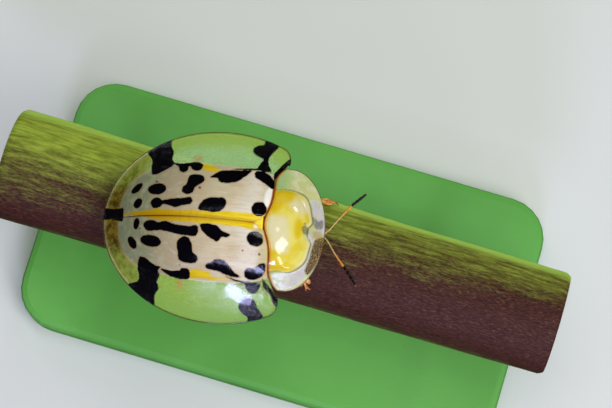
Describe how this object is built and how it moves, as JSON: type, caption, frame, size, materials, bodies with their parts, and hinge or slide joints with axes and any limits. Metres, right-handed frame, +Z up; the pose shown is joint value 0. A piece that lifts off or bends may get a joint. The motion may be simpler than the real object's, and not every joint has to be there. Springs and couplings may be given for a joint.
{
  "type": "tortoise beetle model",
  "caption": "Life-size still model of a spotted tortoise beetle with clear shell margins, gripping a short stem on a plain display stand.",
  "frame": {"origin": "middle of the underside of the stand's base", "axes": "+X towards the beetle's head, +Y to the beetle's left, +Z up"},
  "size_m": [0.0406, 0.025, 0.0201],
  "materials": {
    "wing_case": "glossy, with black spots and clear margins",
    "pronotum": "glossy yellow with a clear rim",
    "body": "satin amber",
    "leg": "satin orange, the feelers with black ends",
    "eye": "glossy black",
    "stem": "matte plant stem, maroon below and green along its edges",
    "stand_plate": "matte leaf green",
    "stand_rod": "brushed"
  },
  "bodies": {
    "root": {"elytron_left": "wing_case", "elytron_right": "wing_case", "scutellum": "pronotum", "pronotum": "pronotum", "head": "body", "eye_left": "eye", "eye_right": "eye", "mouthparts": "leg", "antenna_left": "leg", "antenna_right": "leg", "prothorax": "body", "thorax": "body", "abdomen": "body", "leg_front_left": "leg", "leg_front_right": "leg", "leg_middle_left": "leg", "leg_middle_right": "leg", "leg_hind_left": "leg", "leg_hind_right": "leg", "perch_stem": "stem", "stand_base": "stand_plate", "stand_rod_back": "stand_rod", "stand_rod_front": "stand_rod"}
  },
  "joints": []
}
